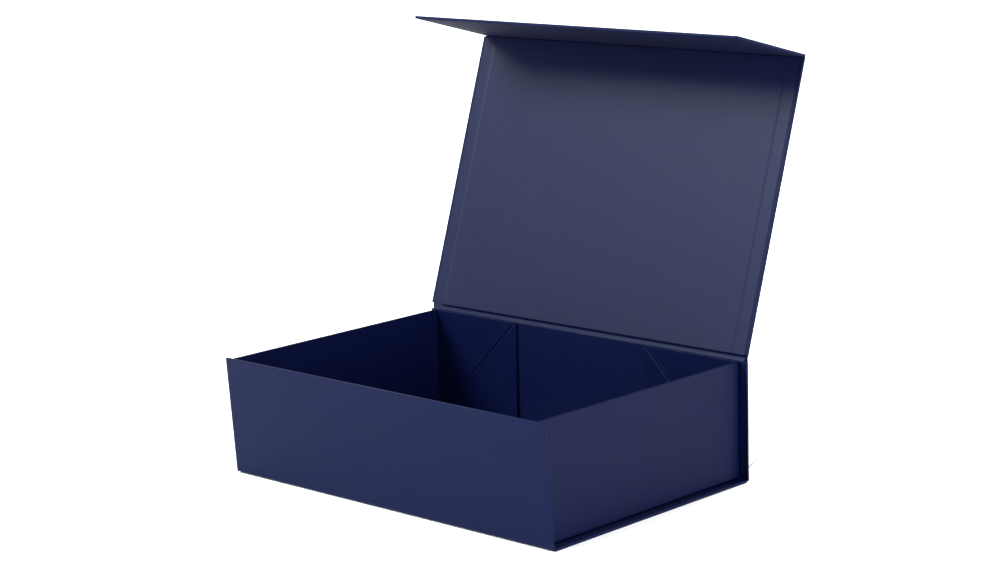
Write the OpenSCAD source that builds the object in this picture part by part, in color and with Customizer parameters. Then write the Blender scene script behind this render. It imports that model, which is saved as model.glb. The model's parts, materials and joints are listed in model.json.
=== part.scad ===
// Folding magnetic closure box, standing open.
// A case of five greyboard panels in one wrapping sheet (closure flap, lid, spine, base and front
// wall) with two wings set inside its ends. Each wing folds round from a glue tab behind the front
// wall, along the side, to a square gusset against the spine, which creases on its diagonal.
// X runs along the hinge, Y to the back and Z up. The origin is the centre of the base's underside.

/* [Case] */
// Width of every case panel, along the hinge
case_w = 350; // [260:5:450]
// Depth of the base, from the front wall's foot to the spine
base_d = 236; // [180:1:320]
// Height of the wall tops above the table
wall_h = 99; // [70:1:130]
// Lean of the front wall, out at the top
front_lean = 4; // [0:0.5:6]
// Length of the closure flap
flap_l = 92; // [50:1:96]

/* [Board and paper] */
// Thickness of the greyboard
board_t = 2; // [1.5:0.1:3]
// Thickness of the wrapping and lining paper
paper_t = 0.2; // [0.15:0.01:0.25]
// Width of the wrapping that is turned in over the board's edges
turn_in = 15; // [8:1:25]
// Distance from a panel's edge to the liner's edge
liner_inset = 3; // [1:0.5:5]

/* [Creases] */
// Height at which a wall's board ends above the underside
crease_up = 1.8; // [1.6:0.1:3]
// Distance from the base's corner to its board
crease_in = 3.6; // [3:0.1:6]
// Gap between the closed lid or flap and the walls
close_gap = 0.3; // [0.2:0.05:0.6]
// Distance from the lid's hinge line to its board
lid_foot = 1.4; // [1.2:0.1:3]
// Distance from the flap's hinge line to its board
flap_foot = 1.2; // [1:0.1:3]
// Extra play between the lid's end and the square flap
flap_play = 0.4; // [0.3:0.1:1]
// Play between the two parts of a hinge sheet at its fold
fold_play = 0.08; // [0.05:0.01:0.1]

/* [Pose] */
// Lean of the open lid, back from upright
lid_lean = 18.5; // [5:0.5:40]

/* [Wings] */
// Distance from a case end to the side wall
side_inset = 6.5; // [4:0.5:12]
// Gap under the side wall, closed only by its hinge paper
side_gap = 1.5; // [0.8:0.1:3]
// Clearance under the gusset and the glue tab
foot_gap = 0.3; // [0.2:0.1:0.6]
// Width of the hinge flange that is glued to the floor
flange_w = 18; // [10:1:30]
// Length of the glue tab behind the front wall
tab_l = 28; // [15:1:50]
// Distance of the glue tab's top below the wall tops
tab_drop = 8; // [4:1:20]
// Half the gap between the gusset's two boards
split_half = 1.1; // [1:0.1:1.5]
// Half the width of the pressed groove on the diagonal
groove_half = 0.8; // [0.5:0.1:0.9]
// Depth of the pressed groove
groove_deep = 0.8; // [0.4:0.1:1]
// Thickness of the adhesive strip on the tab
tape_t = 0.2; // [0.1:0.05:0.3]
// Margin of the adhesive strip inside the tab
tape_margin = 4; // [2:1:8]

/* [Closure] */
// Distance of each magnet from the middle of the flap
magnet_x = 100; // [60:5:120]
// Radius of a magnet
magnet_r = 6; // [4:0.5:7]
// Radius of a steel plate
plate_r = 8; // [5:0.5:10]
// Distance of the magnets from the flap's free edge
magnet_edge = 15; // [12:1:25]
// Clearance round a magnet or plate in its board
pocket_play = 0.1; // [0.05:0.05:0.3]

/* [Hidden] */
$fn = 48;
wrapped_t = board_t + 2 * paper_t;       // board with paper on both faces
lined_t = wrapped_t + paper_t;           // the same with the liner
fold_gap = 2 * paper_t + fold_play;      // a hinge sheet stops this far from its fold
over = 0.5;                              // a cutter reaches this far past a face

// Corners of the tray's outer face, in Y and Z
front_dir = [-sin(front_lean), cos(front_lean)];
front_foot = [-base_d / 2, 0];
front_len = (wall_h - lined_t * sin(front_lean)) / cos(front_lean);
front_top = front_foot + front_len * front_dir;
spine_foot = [base_d / 2, 0];
spine_top = [base_d / 2, wall_h - paper_t];

// Hinge lines: the lid turns at its own outer back edge, the flap at the lid's outer front edge.
// Closed, the flap lies along the front wall, and it swings clear of the wall's top edge
axis_z = wall_h + close_gap + lined_t;
swing_r = norm([base_d / 2 - front_top[0], axis_z - front_top[1]]);
lid_l = (swing_r + close_gap + lined_t) / cos(front_lean);
flap_y = base_d / 2 - lid_l;
lid_end = lid_l - lined_t - flap_play;   // where the lid's lined board ends
drop = (axis_z - front_top[1]) * cos(front_lean) + (front_top[0] - flap_y) * sin(front_lean);
plate_down = flap_l - magnet_edge - drop; // distance of the plates down the front wall

// The inner faces that the wings stand against
floor_z = lined_t;
back_y = base_d / 2 - lined_t;
front_in = lined_t + tape_t;             // the wing keeps this far inside the front wall's face
side_x = -case_w / 2 + side_inset;       // outer face of the left side wall
side_foot = floor_z + side_gap;
panel_foot = floor_z + foot_gap;
gusset_x = side_x + wall_h - floor_z;    // free edge of the left gusset
tab_x = side_x + wrapped_t + tab_l;      // free edge of the left glue tab
tab_top = wall_h - tab_drop;

navy = [0.13, 0.16, 0.32];
navy_inside = [0.10, 0.12, 0.27];
greyboard = [0.52, 0.51, 0.48];

// A folded sheet is a path in Y and Z, given thickness to its left and width along X
function left_of(v) = [-v[1], v[0]] / norm(v);
function toward(a, b, far) = a + far * (b - a) / norm(b - a);
function flipped(path) = [for (i = [len(path) - 1:-1:0]) path[i]];
function beside(path, t) = [for (i = [0:len(path) - 1])
    let (a = left_of(i > 0 ? path[i] - path[i - 1] : path[1] - path[0]),
        b = left_of(i < len(path) - 1 ? path[i + 1] - path[i] : path[i] - path[i - 1]))
    path[i] + t * (a + b) / (1 + a * b)];

// A section in Y and Z, centred on X
module across(points, width) {
    rotate([90, 0, 90]) translate([0, 0, -width / 2]) linear_extrude(width) polygon(points);
}

// A slab between two distances along a panel and two heights, centred on X
module slab(y0, y1, z0, z1, width) {
    translate([-width / 2, y0, z0]) cube([width, y1 - y0, z1 - z0]);
}

// Frames whose Y runs along a panel and whose Z points to the inside of the box
module on_lid() {
    translate([0, base_d / 2, axis_z]) rotate([90 - lid_lean, 0, 0]) children();
}
module on_flap() {
    on_lid() translate([0, lid_l, 0]) rotate([90 + front_lean, 0, 0]) children();
}
module on_front() {
    translate([0, front_top[0], front_top[1]]) rotate([front_lean - 90, 0, 0]) children();
}

// Round discs through a board, at the same two places on the flap and the front wall
module discs(y, r, sides) {
    for (side = sides) translate([side * magnet_x, y, paper_t]) cylinder(r = r, h = board_t);
}
module disc_holes(y, r) {
    for (side = [-1, 1])
        translate([side * magnet_x, y, paper_t - over]) cylinder(r = r, h = board_t + 2 * over);
}

// The room that the board of a flat panel fills
module board_room(y0, y1) {
    slab(y0, y1, paper_t, paper_t + board_t, case_w - 2 * paper_t);
}

// Closure flap
module flap_board() {
    color(greyboard) on_flap() difference() {
        board_room(flap_foot + 2 * paper_t, flap_l - paper_t);
        disc_holes(flap_l - magnet_edge, magnet_r + pocket_play);
    }
}
module flap_wrap() {
    color(navy) on_flap() difference() {
        union() {
            slab(fold_gap, flap_l, 0, paper_t, case_w);
            slab(flap_foot + paper_t, flap_l, 0, wrapped_t, case_w);
        }
        board_room(flap_foot + 2 * paper_t, flap_l - paper_t);
        slab(flap_foot, flap_l - turn_in, paper_t, wrapped_t + over, case_w - 2 * turn_in);
    }
}
module flap_liner() {
    color(navy_inside) on_flap() union() {
        slab(fold_gap, flap_foot + paper_t, paper_t, 2 * paper_t, case_w - 2 * liner_inset);
        slab(flap_foot, flap_foot + paper_t, paper_t, lined_t, case_w - 2 * liner_inset);
        slab(flap_foot, flap_l - liner_inset, wrapped_t, lined_t, case_w - 2 * liner_inset);
        slab(flap_foot, flap_foot + 2 * paper_t, paper_t, lined_t, case_w - 2 * turn_in);
        slab(flap_foot, flap_l - turn_in, wrapped_t - paper_t, lined_t, case_w - 2 * turn_in);
    }
}

// Lid
module lid_board() {
    color(greyboard) on_lid() board_room(lid_foot + 2 * paper_t, lid_end - 2 * paper_t);
}
module lid_wrap() {
    color(navy) on_lid() difference() {
        union() {
            slab(fold_gap, lid_l - fold_gap, 0, paper_t, case_w);
            slab(lid_foot + paper_t, lid_end - paper_t, 0, wrapped_t, case_w);
        }
        board_room(lid_foot + 2 * paper_t, lid_end - 2 * paper_t);
        slab(lid_foot, lid_end, paper_t, wrapped_t + over, case_w - 2 * turn_in);
    }
}
module lid_liner() {
    color(navy_inside) on_lid() union() {
        slab(fold_gap, lid_foot + paper_t, paper_t, 2 * paper_t, case_w - 2 * liner_inset);
        slab(lid_end - paper_t, lid_l - fold_gap, paper_t, 2 * paper_t, case_w - 2 * liner_inset);
        difference() {
            slab(lid_foot, lid_end, paper_t, lined_t, case_w - 2 * liner_inset);
            slab(lid_foot + paper_t, lid_end - paper_t, 0, wrapped_t, case_w);
        }
        difference() {
            slab(lid_foot, lid_end, paper_t, lined_t, case_w - 2 * turn_in);
            board_room(lid_foot + 2 * paper_t, lid_end - 2 * paper_t);
        }
    }
}

// Tray: the sharp corners carry the inner faces, the skin cuts across them at the two creases
function tray_corners(top_cut, back_cut) = [toward(front_top, front_foot, top_cut), front_foot,
    spine_foot, toward(spine_top, spine_foot, back_cut)];
function tray_skin(top_cut, back_cut) = [toward(front_top, front_foot, top_cut),
    toward(front_foot, front_top, crease_up), toward(front_foot, spine_foot, crease_in),
    toward(spine_foot, front_foot, crease_in), toward(spine_foot, spine_top, crease_up),
    toward(spine_top, spine_foot, back_cut)];
function tray_section(top_cut, back_cut, near, far) =
    concat(beside(tray_skin(top_cut, back_cut), near),
        flipped(beside(tray_corners(top_cut, back_cut), far)));
function tray_sheet(top_cut, near, far) =
    concat(beside(tray_corners(top_cut, 0), near), flipped(beside(tray_corners(top_cut, 0), far)));

module spine_board() {
    color(greyboard) translate([0, base_d / 2, 0]) rotate([90, 0, 0])
        board_room(crease_up + paper_t, spine_top[1] - paper_t);
}
module base_board() {
    color(greyboard) board_room(front_foot[0] + crease_in + paper_t,
        spine_foot[0] - crease_in - paper_t);
}
module front_board() {
    color(greyboard) on_front() difference() {
        board_room(paper_t, front_len - crease_up - paper_t);
        disc_holes(plate_down, plate_r + pocket_play);
    }
}
module tray_wrap() {
    color(navy) difference() {
        union() {
            across(tray_section(0, 0, 0, wrapped_t), case_w);
            slab(base_d / 2 - paper_t, base_d / 2, spine_foot[1] + crease_up,
                axis_z - fold_gap, case_w);
        }
        across(tray_section(paper_t, paper_t, paper_t, wrapped_t - paper_t), case_w - 2 * paper_t);
        across(tray_section(turn_in, -over, paper_t, wrapped_t + over), case_w - 2 * turn_in);
    }
}
module tray_liner() {
    color(navy_inside) union() {
        across(tray_sheet(liner_inset, wrapped_t, lined_t), case_w - 2 * liner_inset);
        slab(back_y, back_y + paper_t, spine_top[1] - paper_t, wall_h, case_w - 2 * liner_inset);
        slab(back_y, base_d / 2 - paper_t, spine_top[1], wall_h, case_w - 2 * liner_inset);
        slab(base_d / 2 - 2 * paper_t, base_d / 2 - paper_t, spine_top[1],
            axis_z - fold_gap, case_w - 2 * liner_inset);
        across(tray_sheet(turn_in, wrapped_t - paper_t, lined_t), case_w - 2 * turn_in);
        slab(back_y, base_d / 2 - paper_t, spine_top[1] - paper_t, wall_h, case_w - 2 * turn_in);
    }
}

// Wings, drawn on the left. The distance in from the front wall's outer face sets their front
function front_y(z, inside) = front_foot[0] + inside / cos(front_lean) - z * tan(front_lean);
module side_block(skin) {
    translate([side_x + skin, 0, 0]) rotate([90, 0, 90]) linear_extrude(wrapped_t - 2 * skin)
        polygon([[front_y(side_foot + skin, front_in) + skin, side_foot + skin],
            [back_y - skin, side_foot + skin], [back_y - skin, wall_h - skin],
            [front_y(wall_h - skin, front_in) + skin, wall_h - skin]]);
}
module gusset_block(skin) {
    translate([side_x + skin, back_y - wrapped_t + skin, panel_foot + skin])
        cube([gusset_x - side_x - 2 * skin, wrapped_t - 2 * skin, wall_h - panel_foot - 2 * skin]);
}
module front_block(x0, x1, z0, z1, near, far) {
    translate([x0, 0, 0]) rotate([90, 0, 90]) linear_extrude(x1 - x0)
        polygon([[front_y(z0, near), z0], [front_y(z0, far), z0], [front_y(z1, far), z1],
            [front_y(z1, near), z1]]);
}
module tab_block(skin) {
    front_block(side_x + skin, tab_x - skin, panel_foot + skin, tab_top - skin,
        front_in + skin, front_in + wrapped_t - skin);
}
// The hinge paper under the side wall and the flange that holds it to the floor
module flange() {
    edge = side_x + wrapped_t;
    y0 = front_y(floor_z, front_in + wrapped_t) + foot_gap;
    y1 = back_y - wrapped_t - foot_gap;
    translate([0, 0, floor_z]) linear_extrude(paper_t) polygon([[edge - paper_t, y0], [edge, y0],
        [edge + flange_w, y0 + flange_w], [edge + flange_w, y1 - flange_w], [edge, y1],
        [edge - paper_t, y1]]);
    translate([edge - paper_t, y0, floor_z]) cube([paper_t, y1 - y0, side_gap + paper_t]);
}
// A wedge along the gusset's diagonal, pressed in from the face that shows
module diagonal_wedge(half, deep) {
    run = (gusset_x - side_x) * sqrt(2);
    translate([side_x, back_y - wrapped_t, floor_z]) rotate([0, -45, 0]) rotate([90, 0, 90])
        linear_extrude(run) polygon([[-over, -half * (deep + over) / deep], [deep, 0],
            [-over, half * (deep + over) / deep]]);
}
module wing_wrap() {
    difference() {
        union() {
            difference() {
                union() {
                    side_block(0);
                    gusset_block(0);
                    tab_block(0);
                }
                side_block(paper_t);
                gusset_block(paper_t);
                tab_block(paper_t);
            }
            flange();
            intersection() {
                gusset_block(0);
                diagonal_wedge(groove_half + paper_t, groove_deep + paper_t);
            }
        }
        diagonal_wedge(groove_half, groove_deep);
    }
}
module side_board() {
    intersection() {
        side_block(paper_t);
        translate([side_x, front_y(wall_h, front_in + wrapped_t), side_foot])
            cube([wrapped_t, back_y - wrapped_t - paper_t - front_y(wall_h, front_in + wrapped_t),
                wall_h]);
    }
}
module tab_board() {
    front_block(side_x + wrapped_t + paper_t, tab_x - paper_t, panel_foot + paper_t,
        tab_top - paper_t, front_in + paper_t, front_in + wrapped_t - paper_t);
}
// The two boards of the gusset lie either side of its diagonal
module gusset_board(points) {
    translate([0, back_y - paper_t, 0]) rotate([90, 0, 0]) linear_extrude(board_t)
        polygon(points);
}
module loose_board() {
    x0 = side_x + wrapped_t + paper_t;
    top = wall_h - paper_t;
    rise = split_half * sqrt(2) + floor_z - side_x;
    gusset_board([[x0, x0 + rise], [x0, top], [top - rise, top]]);
}
module glued_board() {
    foot = panel_foot + paper_t;
    x1 = gusset_x - paper_t;
    fall = floor_z - side_x - split_half * sqrt(2);
    gusset_board([[foot - fall, foot], [x1, foot], [x1, x1 + fall]]);
}
module tape() {
    front_block(side_x + wrapped_t + tape_margin, tab_x - tape_margin, panel_foot + tape_margin,
        tab_top - tape_margin, lined_t, front_in);
}
module right_hand() {
    mirror([1, 0, 0]) children();
}

module left_side_board() { color(greyboard) side_board(); }
module right_side_board() { color(greyboard) right_hand() side_board(); }
module left_tab_board() { color(greyboard) tab_board(); }
module right_tab_board() { color(greyboard) right_hand() tab_board(); }
module left_gusset_loose_board() { color(greyboard) loose_board(); }
module right_gusset_loose_board() { color(greyboard) right_hand() loose_board(); }
module left_gusset_glued_board() { color(greyboard) glued_board(); }
module right_gusset_glued_board() { color(greyboard) right_hand() glued_board(); }
module left_wing_wrap() { color(navy_inside) wing_wrap(); }
module right_wing_wrap() { color(navy_inside) right_hand() wing_wrap(); }
module left_tape() { color("ivory") tape(); }
module right_tape() { color("ivory") right_hand() tape(); }
module left_magnet() { color("silver") on_flap() discs(flap_l - magnet_edge, magnet_r, [-1]); }
module right_magnet() { color("silver") on_flap() discs(flap_l - magnet_edge, magnet_r, [1]); }
module left_plate() { color("gray") on_front() discs(plate_down, plate_r, [-1]); }
module right_plate() { color("gray") on_front() discs(plate_down, plate_r, [1]); }

flap_board();
lid_board();
spine_board();
base_board();
front_board();
flap_wrap();
lid_wrap();
tray_wrap();
flap_liner();
lid_liner();
tray_liner();
left_side_board();
right_side_board();
left_tab_board();
right_tab_board();
left_gusset_loose_board();
right_gusset_loose_board();
left_gusset_glued_board();
right_gusset_glued_board();
left_wing_wrap();
right_wing_wrap();
left_tape();
right_tape();
left_magnet();
right_magnet();
left_plate();
right_plate();
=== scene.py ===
# Folding magnetic closure box in navy coated paper, standing open on a pale floor.
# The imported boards, magnets, plates and adhesive strips stay as they are. The papers are built here
# as real folded sheets with rounded folds, turned-in edges and creases.
import json
import math

import bmesh
import bpy
from mathutils import Matrix, Vector


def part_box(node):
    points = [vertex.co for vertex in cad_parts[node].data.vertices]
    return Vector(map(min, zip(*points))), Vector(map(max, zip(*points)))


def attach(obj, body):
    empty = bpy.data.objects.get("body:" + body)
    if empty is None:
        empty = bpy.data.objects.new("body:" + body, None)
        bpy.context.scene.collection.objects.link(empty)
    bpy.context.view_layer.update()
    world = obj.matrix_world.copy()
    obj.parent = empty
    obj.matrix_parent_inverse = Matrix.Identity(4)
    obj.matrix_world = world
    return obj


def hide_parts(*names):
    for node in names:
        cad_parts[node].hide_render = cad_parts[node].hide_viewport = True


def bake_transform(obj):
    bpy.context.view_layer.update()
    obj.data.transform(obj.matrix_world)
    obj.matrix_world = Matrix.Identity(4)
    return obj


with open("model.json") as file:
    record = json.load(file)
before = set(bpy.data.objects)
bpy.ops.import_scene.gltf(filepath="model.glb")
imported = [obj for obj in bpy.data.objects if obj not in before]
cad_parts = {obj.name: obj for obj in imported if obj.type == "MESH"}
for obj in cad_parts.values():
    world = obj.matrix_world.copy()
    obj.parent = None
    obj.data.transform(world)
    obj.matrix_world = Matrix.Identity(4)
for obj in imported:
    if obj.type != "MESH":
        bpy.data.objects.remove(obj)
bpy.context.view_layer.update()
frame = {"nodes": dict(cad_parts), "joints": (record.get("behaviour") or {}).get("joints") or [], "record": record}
print("frame loaded:", len(frame["nodes"]), "nodes")

mm = 0.001

# What the papers have in common, in millimetres
paper = dict(
    board=2.0,          # greyboard
    sheet=0.2,          # one sheet of paper with its glue
    foldRadius=0.48,    # a sheet turned over a board's edge
    turnIn=15.0,        # wrapping turned in over an edge
    linerInset=3.0,     # from a panel's edge to the liner's
    reliefHalf=1.4,     # half the width over which the liner climbs onto a turned-in edge
    frontLean=4.0,      # degrees, out at the top
)
wrapped = paper["board"] + 2 * paper["sheet"]
lined = wrapped + paper["sheet"]

# Places read off the frame, in millimetres
_, caseHigh = (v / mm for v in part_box("tray_wrap"))
wingLow, wingHigh = (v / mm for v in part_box("left_wing_wrap"))
jointAt = {j["name"]: Vector(j["pos_m"]) / mm for j in frame["joints"]}
caseHalf = caseHigh.x
backY = caseHigh.y
wallTop = wingHigh.z
lidLine = jointAt["lid_hinge"].yz
flapLine = jointAt["flap_hinge"].yz
lidLength = (flapLine - lidLine).length
lean = math.radians(paper["frontLean"])


def turned(direction, degrees):
    return Matrix.Rotation(math.radians(degrees), 2) @ direction


# Each panel has a line it starts at, a direction along it and a direction to the box's inside
lidAlong = (flapLine - lidLine).normalized()
panels = {
    "lid": (lidLine, lidAlong, turned(lidAlong, 90)),
    "flap": (flapLine, turned(lidAlong, 90 + paper["frontLean"]), turned(lidAlong, 180 + paper["frontLean"])),
}


def onPanel(panel, along, inward):
    origin, direction, inside = panels[panel]
    return origin + along * direction + inward * inside


def toWorld(x, point):
    return Vector((x, point.x, point.y)) * mm


# Camera, at the photograph's angle
camera = dict(
    place=(1340.96, -1407.98, 554.23),  # mm
    azimuth=43.217,
    elevation=11.373,
    roll=-1.50,
    lens=89.11,
    clip=(0.05, 60),                    # m
)


def addCamera():
    azimuth, elevation = math.radians(camera["azimuth"]), math.radians(camera["elevation"])
    forward = Vector((-math.sin(azimuth) * math.cos(elevation), math.cos(azimuth) * math.cos(elevation),
                      -math.sin(elevation)))
    level = Vector((math.cos(azimuth), math.sin(azimuth), 0))
    right = Matrix.Rotation(math.radians(-camera["roll"]), 3, forward) @ level
    up = right.cross(forward)
    data = bpy.data.cameras.new("camera")
    data.lens = camera["lens"]
    data.clip_start, data.clip_end = camera["clip"]
    found = bpy.data.objects.new("camera", data)
    found.matrix_world = Matrix.Translation(Vector(camera["place"]) * mm) @ Matrix(
        (right, up, -forward)).transposed().to_4x4()
    bpy.context.collection.objects.link(found)
    bpy.context.scene.camera = found


addCamera()

# Studio: a pale sweep, a white surround and soft boxes standing 8 m off
studio = dict(
    floorSize=14.0,     # m
    floor=("#F8F8F7", "#FBFBFA"),
    surround=1.0,
    distance=8.0,       # m from the point that the soft boxes are turned to
    aim=(0, 0.05, 0.15),
    lights=(
        # name, degrees round from the front, degrees up, size in metres, watts, colour
        ("keyLight", -33, 38, 3.2, 1080, "#F2FFFC"),
        ("wideLight", -48, 44, 3.5, 110, "#F2FFFC"),
        ("sideLight", 80, 8, 3.5, 760, "#F9FFFF"),
        ("backLight", 180, 50, 3.5, 480, "#FFFFFF"),
    ),
)


def linear(code):
    # sRGB hex to linear
    parts = [int(code[i:i + 2], 16) / 255 for i in (1, 3, 5)]
    return [v / 12.92 if v <= 0.04045 else ((v + 0.055) / 1.055) ** 2.4 for v in parts] + [1.0]


def node(tree, kind, settings=None, **inputs):
    # adds a node, sets its properties and values, and links what comes from other nodes
    made = tree.nodes.new(kind)
    for key, value in (settings or {}).items():
        setattr(made, key, value)
    for key, value in inputs.items():
        wanted = int(key[1:]) if key[0] == "_" and key[1:].isdigit() else key.replace("_", " ")
        if isinstance(value, bpy.types.NodeSocket):
            tree.links.new(value, made.inputs[wanted])
        else:
            made.inputs[wanted].default_value = value
    return made


def newMaterial(name):
    material = bpy.data.materials.new(name)
    material.use_nodes = True
    material.node_tree.nodes.clear()
    return material, material.node_tree


def finishMaterial(tree, shader):
    node(tree, "ShaderNodeOutputMaterial", Surface=shader.outputs["BSDF"])


def perMetre(size):
    # a texture's scale for a pattern of that many millimetres
    return 1 / (size * mm)


def coatedPaper(name, colour, deep, roughness, specular, shift):
    # coated art paper, printed solid navy and laminated satin: an even deep colour under a soft sheen,
    # with a fine fibre tooth, faint print mottle and the long shallow waves of glued sheets
    pattern = dict(tooth=0.55, mottle=9.0, wave=70.0)  # mm; the tooth is drawn coarser than the real 0.1
    depth = dict(tooth=0.012, wave=0.35)               # mm
    duller, shinier = roughness + 0.03, roughness - 0.02
    material, tree = newMaterial(name)
    where = node(tree, "ShaderNodeTexCoord").outputs["Object"]
    moved = node(tree, "ShaderNodeVectorMath", dict(operation="ADD"), _0=where, _1=(shift,) * 3).outputs[0]
    tooth = node(tree, "ShaderNodeTexNoise", Vector=moved, Scale=perMetre(pattern["tooth"]), Detail=3.0,
                 Roughness=0.6)
    mottle = node(tree, "ShaderNodeTexNoise", Vector=moved, Scale=perMetre(pattern["mottle"]), Detail=4.0,
                  Roughness=0.65)
    wave = node(tree, "ShaderNodeTexNoise", Vector=moved, Scale=perMetre(pattern["wave"]), Detail=1.5,
                Roughness=0.4)
    tone = node(tree, "ShaderNodeMapRange", Value=mottle.outputs["Fac"], From_Min=0.3, From_Max=0.7,
                To_Min=0.0, To_Max=1.0)
    ink = node(tree, "ShaderNodeMix", dict(data_type="RGBA"), _0=tone.outputs[0], _6=linear(deep),
               _7=linear(colour))
    gloss = node(tree, "ShaderNodeMapRange", Value=mottle.outputs["Fac"], From_Min=0.3, From_Max=0.7,
                 To_Min=shinier, To_Max=duller)
    waves = node(tree, "ShaderNodeBump", Height=wave.outputs["Fac"], Strength=0.5,
                 Distance=depth["wave"] * mm)
    grain = node(tree, "ShaderNodeBump", Height=tooth.outputs["Fac"], Normal=waves.outputs[0], Strength=0.35,
                 Distance=depth["tooth"] * mm)
    # seen along the sheet, the tooth hides most of the gloss
    facing = node(tree, "ShaderNodeLayerWeight", Blend=0.5).outputs["Facing"]
    along = node(tree, "ShaderNodeMapRange", Value=facing, From_Min=0.78, From_Max=0.94, To_Min=0.0,
                 To_Max=0.5)
    roughened = node(tree, "ShaderNodeMath", dict(operation="ADD", use_clamp=True), _0=gloss.outputs[0],
                     _1=along.outputs[0])
    shader = node(tree, "ShaderNodeBsdfPrincipled", Base_Color=ink.outputs[2], Roughness=roughened.outputs[0],
                  Normal=grain.outputs[0], IOR=1.47)
    shader.inputs["Specular IOR Level"].default_value = specular
    finishMaterial(tree, shader)
    return material


def greyboard():
    # recycled greyboard, pressed and cut: dull grey with dark and light fibre flecks and a felted face
    pattern = dict(fleck=1.4, felt=0.5, depth=0.03)  # mm
    material, tree = newMaterial("greyboard")
    where = node(tree, "ShaderNodeTexCoord").outputs["Object"]
    fleck = node(tree, "ShaderNodeTexNoise", Vector=where, Scale=perMetre(pattern["fleck"]), Detail=5.0,
                 Roughness=0.75)
    felt = node(tree, "ShaderNodeTexNoise", Vector=where, Scale=perMetre(pattern["felt"]), Detail=3.0)
    tone = node(tree, "ShaderNodeMapRange", Value=fleck.outputs["Fac"], From_Min=0.35, From_Max=0.65)
    colour = node(tree, "ShaderNodeMix", dict(data_type="RGBA"), _0=tone.outputs[0], _6=linear("#77746B"),
                  _7=linear("#928F86"))
    bump = node(tree, "ShaderNodeBump", Height=felt.outputs["Fac"], Strength=0.5,
                Distance=pattern["depth"] * mm)
    shader = node(tree, "ShaderNodeBsdfPrincipled", Base_Color=colour.outputs[2], Normal=bump.outputs[0],
                  Roughness=0.92, IOR=1.5)
    finishMaterial(tree, shader)
    return material


def adhesiveTape():
    # double-sided tissue tape with its paper face: milky, a little glossy, with a crossed weave
    pattern = dict(weave=0.8, depth=0.02)  # mm
    material, tree = newMaterial("adhesiveTape")
    where = node(tree, "ShaderNodeTexCoord").outputs["Object"]
    # the wave texture has about six bands in one unit
    weave = node(tree, "ShaderNodeTexWave", Vector=where, Scale=perMetre(pattern["weave"]) / 6,
                 Distortion=1.0)
    tone = node(tree, "ShaderNodeMix", dict(data_type="RGBA"), _0=weave.outputs["Fac"], _6=linear("#E2DCCB"),
                _7=linear("#EDE8DA"))
    bump = node(tree, "ShaderNodeBump", Height=weave.outputs["Fac"], Strength=0.3,
                Distance=pattern["depth"] * mm)
    shader = node(tree, "ShaderNodeBsdfPrincipled", Base_Color=tone.outputs[2], Normal=bump.outputs[0],
                  Roughness=0.38, IOR=1.48)
    finishMaterial(tree, shader)
    return material


def platedMetal(name, colour, roughness, lines):
    # nickel-plated magnet or bare sheet steel: bright metal with fine turned or rolled lines along X
    pattern = dict(lines=lines, stretch=12, depth=0.01)  # mm, times as long as wide, mm
    material, tree = newMaterial(name)
    where = node(tree, "ShaderNodeTexCoord").outputs["Object"]
    narrow = (1, pattern["stretch"], pattern["stretch"])
    stretched = node(tree, "ShaderNodeMapping", Vector=where, Scale=narrow).outputs[0]
    grain = node(tree, "ShaderNodeTexNoise", Vector=stretched, Scale=perMetre(pattern["lines"]), Detail=3.0)
    gloss = node(tree, "ShaderNodeMapRange", Value=grain.outputs["Fac"], From_Min=0.3, From_Max=0.7,
                 To_Min=roughness - 0.05, To_Max=roughness + 0.08)
    bump = node(tree, "ShaderNodeBump", Height=grain.outputs["Fac"], Strength=0.3,
                Distance=pattern["depth"] * mm)
    shader = node(tree, "ShaderNodeBsdfPrincipled", Base_Color=linear(colour), Metallic=1.0,
                  Roughness=gloss.outputs[0], Normal=bump.outputs[0])
    finishMaterial(tree, shader)
    return material


def studioSweep():
    # matt seamless paper: pale, even and without gloss
    pattern = dict(cloud=900)  # mm
    material, tree = newMaterial("seamlessPaper")
    where = node(tree, "ShaderNodeTexCoord").outputs["Object"]
    cloud = node(tree, "ShaderNodeTexNoise", Vector=where, Scale=perMetre(pattern["cloud"]), Detail=1.0)
    pale, paler = (linear(code) for code in studio["floor"])
    tone = node(tree, "ShaderNodeMix", dict(data_type="RGBA"), _0=cloud.outputs["Fac"], _6=pale, _7=paler)
    shader = node(tree, "ShaderNodeBsdfPrincipled", Base_Color=tone.outputs[2], Roughness=0.95, IOR=1.45)
    shader.inputs["Specular IOR Level"].default_value = 0.1
    finishMaterial(tree, shader)
    return material


def addStudio():
    half = studio["floorSize"] / 2
    mesh = bpy.data.meshes.new("floor")
    corners = [(-half, -half, 0), (half, -half, 0), (half, half, 0), (-half, half, 0)]
    mesh.from_pydata(corners, [], [(0, 1, 2, 3)])
    floor = bpy.data.objects.new("floor", mesh)
    floor.data.materials.append(studioSweep())
    bpy.context.collection.objects.link(floor)
    world = bpy.data.worlds.new("surround")
    world.use_nodes = True
    world.node_tree.nodes["Background"].inputs["Color"].default_value = (1, 1, 1, 1)
    world.node_tree.nodes["Background"].inputs["Strength"].default_value = studio["surround"]
    bpy.context.scene.world = world
    for name, around, up, size, power, colour in studio["lights"]:
        data = bpy.data.lights.new(name, "AREA")
        data.shape = "SQUARE"
        data.size = size
        data.energy = power
        data.color = linear(colour)[:3]
        light = bpy.data.objects.new(name, data)
        around, up = math.radians(around), math.radians(up)
        away = Vector((math.sin(around) * math.cos(up), -math.cos(around) * math.cos(up), math.sin(up)))
        light.location = Vector(studio["aim"]) + away * studio["distance"]
        light.rotation_euler = (-away).to_track_quat("-Z", "Y").to_euler()
        bpy.context.collection.objects.link(light)
    bpy.context.scene.view_settings.view_transform = "Standard"


addStudio()
print("camera and studio set")

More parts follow.
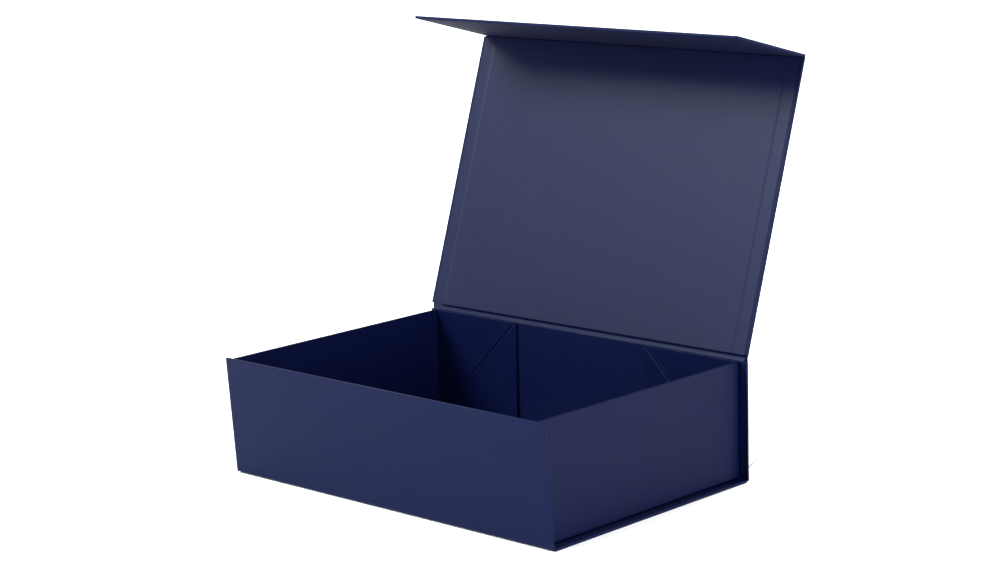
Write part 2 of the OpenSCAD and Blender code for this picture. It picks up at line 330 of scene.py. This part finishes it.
papers = dict(
    # colour, its deeper tone, roughness, specular level, and a shift in metres that sets the patterns apart
    wrappingPaper=("#050D2F", "#050C2C", 0.42, 0.067, 0.0),
    liningPaper=("#050B2E", "#050A2B", 0.40, 0.125, 3.7),
    wingPaper=("#050B2C", "#050A29", 0.42, 0.065, 7.9),
)
wrappingPaper, liningPaper, wingPaper = (coatedPaper(name, *look) for name, look in papers.items())
boardMaterial = greyboard()
tapeMaterial = adhesiveTape()
magnetMaterial = platedMetal("nickelPlate", "#B9B7B0", 0.22, 0.5)
steelMaterial = platedMetal("sheetSteel", "#8C8D8F", 0.36, 0.4)
print("materials made")


def cornerArc(before, here, after, radius, steps):
    # stops along the arc that rounds one corner
    a, b = (before - here).normalized(), (after - here).normalized()
    half = a.angle(b) / 2
    centre = here + (a + b).normalized() * radius / math.sin(half)
    first = here + a * radius / math.tan(half) - centre
    last = here + b * radius / math.tan(half) - centre
    turn = -first.angle_signed(last)
    return [centre + Matrix.Rotation(turn * k / steps, 2) @ first for k in range(steps + 1)]


def roundedRing(corners, steps=4):
    # a closed outline in Y and Z with its corners rounded. A corner is (point, radius, open), and open
    # says that the paper has a window from that corner to the next. Gives (point, open) pairs
    ring = []
    for i, (here, radius, isOpen) in enumerate(corners):
        before, after = corners[i - 1], corners[(i + 1) % len(corners)]
        if radius == 0:
            ring.append((here, isOpen))
            continue
        arc = cornerArc(before[0], here, after[0], radius, steps)
        ring += [(point, isOpen and (before[2] or k == steps)) for k, point in enumerate(arc)]
    return ring


def insetRing(points, inset):
    # moves each point to the inside of a counter-clockwise outline
    moved = []
    for i, here in enumerate(points):
        a = here - points[i - 1]
        b = points[(i + 1) % len(points)] - here
        leftA, leftB = Vector((-a.y, a.x)).normalized(), Vector((-b.y, b.x)).normalized()
        moved.append(here + inset * (leftA + leftB) / (1 + leftA.dot(leftB)))
    return moved


def roundedStations(low, high, radius, between=(), steps=4):
    # stops along an extrusion, with how far each is inset, so that both ends are rounded. They are inset
    # a little less than a quarter round asks, so that the outline's own corners never turn inside out
    depth = radius * 0.85
    turns = [math.pi / 2 * k / steps for k in range(steps + 1)]
    ends = [(depth * (1 - math.sin(turn)), radius * (1 - math.cos(turn))) for turn in turns]
    start = [(low + inward, inset) for inset, inward in ends]
    finish = [(high - inward, inset) for inset, inward in reversed(ends)]
    return start + [(x, 0) for x in between] + finish


def sweepInto(bm, ring, stations, place, windowHalf=0.0):
    # skins a closed outline along its stations, with end caps, and leaves out the window's faces
    rings = [[bm.verts.new(place(at, point)) for point in insetRing([p for p, _ in ring], inset)]
             for at, inset in stations]
    for (low, near), (high, far) in zip(zip(stations, rings), zip(stations[1:], rings[1:])):
        within = abs(low[0] + high[0]) / 2 < windowHalf
        for i in range(len(ring)):
            if not (ring[i][1] and within):
                j = (i + 1) % len(ring)
                bm.faces.new((near[i], near[j], far[j], far[i]))
    caps = [bm.faces.new(rings[0][::-1]), bm.faces.new(rings[-1])]
    bmesh.ops.triangulate(bm, faces=caps, ngon_method="EAR_CLIP")


def addPiece(name, bm, material, sheet, evenSheet=True):
    # turns the mesh into an object with its material, and gives the open skin the thickness of its sheet
    mesh = bpy.data.meshes.new(name)
    bm.to_mesh(mesh)
    bm.free()
    mesh.materials.append(material)
    mesh.shade_smooth()
    mesh.set_sharp_from_angle(angle=math.radians(50))
    piece = bpy.data.objects.new(name, mesh)
    bpy.context.collection.objects.link(piece)
    solid = piece.modifiers.new("sheet", "SOLIDIFY")
    solid.thickness, solid.offset = sheet * mm, -1
    solid.use_even_offset = evenSheet
    weighted = piece.modifiers.new("flatFaces", "WEIGHTED_NORMAL")
    weighted.keep_sharp = True
    return piece


# Wrapping sheet of the tray: front wall, base and spine, with its two base creases cut across
trayFolds = dict(
    creaseUp=1.8,       # mm, from the base's corner to the crease's edges
    creaseIn=3.6,
    creaseRadius=1.2,
    insideRadius=0.3,
)


def frontAt(down, inward):
    # a point on the front wall, so far below its top edge and inside its face
    downward, inside = Vector((math.sin(lean), -math.cos(lean))), Vector((math.cos(lean), math.sin(lean)))
    return frontTop + downward * down + inside * inward


frontFoot = Vector((-backY, 0))
frontLength = (wallTop - lined * math.sin(lean)) / math.cos(lean)
frontTop = frontFoot + frontLength * Vector((-math.sin(lean), math.cos(lean)))
spineTop = wallTop - paper["sheet"]


def innerFoot(inward):
    # where the front wall's face meets the floor's, both so far inside the outer ones
    return frontAt(frontLength - (inward - inward * math.sin(lean)) / math.cos(lean), inward)


def trayCover():
    radius, crease, inside = paper["foldRadius"], trayFolds["creaseRadius"], trayFolds["insideRadius"]
    corners = [
        (frontAt(0, 0), radius, False),
        (frontAt(frontLength - trayFolds["creaseUp"], 0), crease, False),
        (Vector((-backY + trayFolds["creaseIn"], 0)), crease, False),
        (Vector((backY - trayFolds["creaseIn"], 0)), crease, False),
        (Vector((backY, trayFolds["creaseUp"])), crease, False),
        (Vector((backY, spineTop)), radius, True),
        (Vector((backY - wrapped, spineTop)), radius, True),
        (Vector((backY - wrapped, wrapped)), inside, True),
        (innerFoot(wrapped), inside, True),
        (frontAt(paper["turnIn"], wrapped), 0, False),
        (frontAt(0, wrapped), radius, False),
    ]
    windowHalf = caseHalf - paper["turnIn"]
    stations = roundedStations(-caseHalf, caseHalf, radius, (-windowHalf, windowHalf))
    bm = bmesh.new()
    sweepInto(bm, roundedRing(corners), stations, toWorld, windowHalf)
    piece = addPiece("tray_cover", bm, wrappingPaper, paper["sheet"])
    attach(piece, "tray")
    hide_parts("tray_wrap")


# Wrapping of the lid and of the flap, each a board with its paper turned in over the free edges
flatPanels = dict(
    lid=dict(foot=1.6, end=3.2, turned=0.0),    # mm from the fold lines; the lid turns in at its ends only
    flap=dict(foot=1.4, end=0.0, turned=15.0),
)


def flatCover(panel, length):
    radius = paper["foldRadius"]
    size = flatPanels[panel]
    low, high = size["foot"], length - size["end"]
    corners = [
        (Vector((low, 0)), radius, False),
        (Vector((high, 0)), radius, not size["turned"]),
        (Vector((high, wrapped)), radius, not size["turned"]),
        (Vector((high - size["turned"], wrapped)), 0, True) if size["turned"] else None,
        (Vector((low, wrapped)), radius, True),
    ]
    windowHalf = caseHalf - paper["turnIn"]
    stations = roundedStations(-caseHalf, caseHalf, radius, (-windowHalf, windowHalf))
    bm = bmesh.new()
    sweepInto(bm, roundedRing([c for c in corners if c]), stations,
              lambda x, point: toWorld(x, onPanel(panel, *point)), windowHalf)
    piece = addPiece(panel + "_cover", bm, wrappingPaper, paper["sheet"])
    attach(piece, panel)
    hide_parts(panel + "_wrap")


flapLength = max((Vector((corner.y, corner.z)) / mm - flapLine).dot(panels["flap"][1])
                 for corner in (v.co for v in frame["nodes"]["flap_wrap"].data.vertices))
trayCover()
flatCover("lid", lidLength)
flatCover("flap", flapLength)
print("wrapping sheet folded")


def smoothPath(corners, spacing, steps=4):
    # an open line through corners, each (point, radius), with stops no further apart than spacing
    line = []
    for i, (here, radius) in enumerate(corners):
        if i == 0 or i == len(corners) - 1 or radius == 0:
            line.append(here)
        else:
            line += cornerArc(corners[i - 1][0], here, corners[i + 1][0], radius, steps)
    filled = [line[0]]
    for point in line[1:]:
        start = filled[-1]
        pieces = max(1, math.ceil((point - start).length / spacing))
        filled += [start.lerp(point, (k + 1) / pieces) for k in range(pieces)]
    return filled


def paperSheet(line, across, lift):
    # a sheet of paper along a line in Y and Z, whose seen face is moved to the line's left by lift(x, way)
    ways = [0.0]
    for a, b in zip(line, line[1:]):
        ways.append(ways[-1] + (b - a).length)
    bm = bmesh.new()
    rows = []
    for x in across:
        row = []
        for i, here in enumerate(line):
            before, after = line[max(0, i - 1)], line[min(len(line) - 1, i + 1)]
            left = Vector((before.y - after.y, after.x - before.x)).normalized()
            row.append(bm.verts.new(toWorld(x, here + left * lift(x, ways[i]))))
        rows.append(row)
    for near, far in zip(rows, rows[1:]):
        for i in range(len(line) - 1):
            bm.faces.new((near[i], far[i], far[i + 1], near[i + 1]))
    return bm


def smooth(value):
    value = min(1.0, max(0.0, value))
    return value * value * (3 - 2 * value)


def climb(distance):
    # 0 on the bare board and 1 on top of the turned-in edge
    return smooth(0.5 + distance / (2 * paper["reliefHalf"]))


def acrossStops(half):
    # stops in X, close together where a liner climbs onto the turned-in ends
    edge = caseHalf - paper["turnIn"]
    near = [edge + paper["reliefHalf"] * k / 3 for k in range(-3, 4)]
    right = liners["flatStops"] + near + [half]
    return sorted({-x for x in right} | set(right))


# Lining sheets, each glued on the bare boards and climbing onto the turned-in edges under it
liners = dict(
    spacing=4.0,        # mm between stops along the liner
    foldRadius=0.45,
    lidFoot=1.4,        # mm from the fold line to the liner over the board's end
    lidEnd=3.0,
    flapFoot=1.2,
    low=0.5,            # mm, where the liner goes on as the hinge's own paper
    spineEnd=0.9,       # mm from the back face, where the tray's liner ends on the spine's top
    flatStops=[0, 50, 100, 140],    # mm from the middle
)


def addLiner(panel, corners, turnedFrom=math.inf, turnedTo=-math.inf):
    # a turned-in edge lies under the line's first turnedTo millimetres and beyond its turnedFrom
    line = smoothPath(corners, liners["spacing"])
    edge = caseHalf - paper["turnIn"]

    def lift(x, way):
        under = max(climb(abs(x) - edge), climb(turnedTo - way), climb(way - turnedFrom))
        return paper["sheet"] * (under - 1)

    bm = paperSheet(line, acrossStops(caseHalf - paper["linerInset"]), lift)
    piece = addPiece(panel + "_lining", bm, liningPaper, paper["sheet"])
    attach(piece, panel)
    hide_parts(panel + "_liner")


def addLiners():
    fold, inset, low = liners["foldRadius"], paper["linerInset"], liners["low"]
    overlap = paper["turnIn"] - inset
    addLiner("tray", [(frontAt(inset, lined), 0), (innerFoot(lined), fold),
                      (Vector((backY - lined, lined)), fold), (Vector((backY - lined, wallTop)), fold),
                      (Vector((backY - liners["spineEnd"], wallTop)), 0)], turnedTo=overlap)
    foot, end = liners["lidFoot"], lidLength - liners["lidEnd"]
    addLiner("lid", [(onPanel("lid", foot, low), 0), (onPanel("lid", foot, lined), fold),
                     (onPanel("lid", end, lined), fold), (onPanel("lid", end, low), 0)])
    foot = liners["flapFoot"]
    addLiner("flap", [(onPanel("flap", foot, low), 0), (onPanel("flap", foot, lined), fold),
                      (onPanel("flap", flapLength - inset, lined), 0)],
             turnedFrom=flapLength - foot + lined - low - paper["turnIn"])


addLiners()
print("lining sheets laid")

# Hinge papers: the same two sheets going on over each fold
hinges = dict(
    spacing=0.18,       # mm between the stops that bend
    bendHalf=1.2,       # mm each side of the lid's fold line that bends
    flapBendHalf=0.5,
    outerRadius=1.0,
    near=0.05,          # mm from a panel's rounded edge to the paper that goes on from it
    inner=0.42,         # mm from the outer face to the inner paper's seen face
    # the lid's inner paper leaves the spine's top, bulges up to the fold and ends under the lid's foot
    leaves=(1.9, 0.01),     # mm in from the back face and above the walls
    rises=(1.45, 0.03),
    bulges=(0.62, 2.3),
    riseRadius=0.4,
    bulgeRadius=0.3,
    underFoot=0.04,     # mm below the lid's liner
    footReach=1.4,      # mm in from the lid's outer face
)


def addHinge(name, corners, half, material):
    line = smoothPath(corners, hinges["spacing"], 6)
    bm = paperSheet(line, [-half, -half / 2, 0, half / 2, half], lambda x, way: 0)
    piece = addPiece(name, bm, material, paper["sheet"], evenSheet=False)
    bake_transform(piece)


def addLidHinge(wrapHalf, linerHalf, clear):
    bodies, bend, inner, bulge = ("tray", "lid"), hinges["bendHalf"], hinges["inner"], hinges["bulgeRadius"]
    spineEnd = Vector((backY, spineTop - clear))
    lidFoot = onPanel("lid", flatPanels["lid"]["foot"] + clear, 0)
    addHinge("lid_hinge_wrapping", [(lidFoot, 0), (lidLine, hinges["outerRadius"]), (spineEnd, 0)],
             wrapHalf, wrappingPaper)
    leaves, rises, bulges = (Vector((backY - inward, wallTop + up))
                             for inward, up in (hinges["leaves"], hinges["rises"], hinges["bulges"]))
    linerEnd = onPanel("lid", liners["lidFoot"] - hinges["underFoot"], hinges["footReach"])
    addHinge("lid_hinge_lining", [(leaves, 0), (rises, hinges["riseRadius"]), (bulges, bulge),
                                  (Vector((backY - inner, lidLine.y)), bulge), (linerEnd, 0)],
             linerHalf, liningPaper)


def addFlapHinge(wrapHalf, linerHalf, clear):
    bodies, bend, inner = ("lid", "flap"), hinges["flapBendHalf"], hinges["inner"]
    flapFoot = onPanel("flap", flatPanels["flap"]["foot"] + clear, 0)
    lidEnd = onPanel("lid", lidLength - flatPanels["lid"]["end"] - clear, 0)
    addHinge("flap_hinge_wrapping", [(flapFoot, 0), (flapLine, paper["foldRadius"]), (lidEnd, 0)],
             wrapHalf, wrappingPaper)
    lidInside, flapInside = panels["lid"][2], panels["flap"][2]
    meets = flapLine + (lidInside + flapInside) * inner / (1 + lidInside.dot(flapInside))
    addHinge("flap_hinge_lining", [(onPanel("lid", lidLength - liners["lidEnd"], inner), 0),
                                   (meets, paper["sheet"]), (onPanel("flap", liners["flapFoot"], inner), 0)],
             linerHalf, liningPaper)


wrapHalf, linerHalf = caseHalf - paper["foldRadius"], caseHalf - paper["linerInset"]
clearOfRounding = paper["foldRadius"] + hinges["near"]
addLidHinge(wrapHalf, linerHalf, clearOfRounding)
addFlapHinge(wrapHalf, linerHalf, clearOfRounding)
print("hinge papers folded")

# Wings: glue tab, side wall and creased gusset in one wrapped and folded piece, hinged to the floor
wings = dict(
    sideGap=1.5,        # mm under the side wall
    footGap=0.3,        # mm under the gusset and the glue tab
    flange=18.0,        # mm over the floor
    tabLength=28.0,
    tabDrop=8.0,        # mm below the walls' tops
    tape=0.2,
    grooveHalf=1.2,     # mm, the crease pressed on the gusset's diagonal
    grooveDeep=0.55,
    lipAt=1.9,          # mm from the diagonal, where the paper stands up beside the groove
    lipHigh=0.32,
    cuts=(0.0, 0.3, 0.6, 0.9, 1.2, 1.5, 1.9, 2.4, 3.0),     # mm from the diagonal
)
sideX = -wingLow.x
wingFront = lined + wings["tape"]
wingBack = backY - lined
gussetX = sideX - wallTop + lined


def frontY(z, inward):
    return -backY + inward / math.cos(lean) - z * math.tan(lean)


def creaseHeight(distance):
    # how far the gusset's face stands up at a distance from its diagonal
    distance, lipHalf = abs(distance), wings["cuts"][-1] - wings["lipAt"]
    if distance < wings["grooveHalf"]:
        return -wings["grooveDeep"] * (1 - smooth(distance / wings["grooveHalf"]))
    return wings["lipHigh"] * (1 - smooth(abs(distance - wings["lipAt"]) / lipHalf))


def addBoard(bm, outline, low, high, place):
    radius = paper["foldRadius"]
    ring = roundedRing([(Vector(point), radius, False) for point in outline])
    sweepInto(bm, ring, roundedStations(low, high, radius), place)


def gussetMesh(panelFoot):
    # the square gusset, cut beside its diagonal and pressed there on the face that is seen
    bm = bmesh.new()
    addBoard(bm, [(gussetX, panelFoot), (sideX, panelFoot), (sideX, wallTop), (gussetX, wallTop)],
             wingBack - wrapped, wingBack, lambda y, point: Vector((point.x, y, point.y)))
    corner, across = Vector((sideX, 0, lined)), Vector((1, 0, 1)).normalized()
    for cut in sorted({-c for c in wings["cuts"]} | set(wings["cuts"])):
        bmesh.ops.bisect_plane(bm, geom=bm.verts[:] + bm.edges[:] + bm.faces[:], dist=1e-5,
                               plane_co=corner + across * cut, plane_no=across)
    for vert in bm.verts:
        if vert.co.y < wingBack - wrapped / 2:
            vert.co.y -= creaseHeight((vert.co - corner).dot(across))
    mesh = bpy.data.meshes.new("gusset")
    bm.to_mesh(mesh)
    bm.free()
    return mesh


def addFlange(bm, side, sideFoot):
    # the wing's paper going down from the side wall and out over the floor
    x, z, reach = sideX - wrapped, lined + paper["sheet"], wings["flange"]
    front = frontY(lined, wingFront + wrapped) + wings["footGap"]
    back = wingBack - wrapped - wings["footGap"]
    top = sideFoot + paper["foldRadius"]
    flat = [(x, front, z), (x, back, z), (x - reach, back - reach, z), (x - reach, front + reach, z)]
    upright = [(x, front, z), (x, front, top), (x, back, top), (x, back, z)]
    corners = {point: bm.verts.new((side * point[0], point[1], point[2])) for point in set(flat + upright)}
    for outline in (flat, upright):
        verts = [corners[point] for point in outline]
        bm.faces.new(verts if side > 0 else verts[::-1])


def addWing(name, side):
    # drawn at positive X and put on its own side
    panelFoot, sideFoot = lined + wings["footGap"], lined + wings["sideGap"]
    inX = sideX - wrapped
    bm = bmesh.new()
    gusset = gussetMesh(panelFoot)
    bm.from_mesh(gusset)
    bpy.data.meshes.remove(gusset)

    def upright(x, point):
        return Vector((x, point.x, point.y))

    addBoard(bm, [(frontY(sideFoot, wingFront), sideFoot), (wingBack, sideFoot), (wingBack, wallTop),
                  (frontY(wallTop, wingFront), wallTop)], inX, sideX, upright)
    tabTop, tabX, tabInside = wallTop - wings["tabDrop"], inX - wings["tabLength"], wingFront + wrapped
    addBoard(bm, [(frontY(panelFoot, wingFront), panelFoot), (frontY(panelFoot, tabInside), panelFoot),
                  (frontY(tabTop, tabInside), tabTop), (frontY(tabTop, wingFront), tabTop)],
             tabX, sideX, upright)
    bmesh.ops.scale(bm, vec=(side, 1, 1), verts=bm.verts)
    bmesh.ops.recalc_face_normals(bm, faces=bm.faces)
    addFlange(bm, side, sideFoot)
    bmesh.ops.scale(bm, vec=(mm, mm, mm), verts=bm.verts)
    piece = addPiece(name + "_cover", bm, wingPaper, paper["sheet"])
    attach(piece, "tray")
    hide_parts(name + "_wrap")


addWing("left_wing", -1)
addWing("right_wing", 1)
print("wings folded")

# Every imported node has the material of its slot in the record
slotMaterials = {
    "wrapping_paper": wrappingPaper, "lining_paper": liningPaper, "wing_paper": wingPaper,
    "greyboard": boardMaterial, "adhesive_tape": tapeMaterial,
    "magnet": magnetMaterial, "steel_plate": steelMaterial,
}
for part in frame["record"]["subparts"]:
    mesh = frame["nodes"][part["node"]].data
    mesh.materials.clear()
    mesh.materials.append(slotMaterials[part["material_slot"]])
print("packed nodes finished")

bpy.context.view_layer.update()
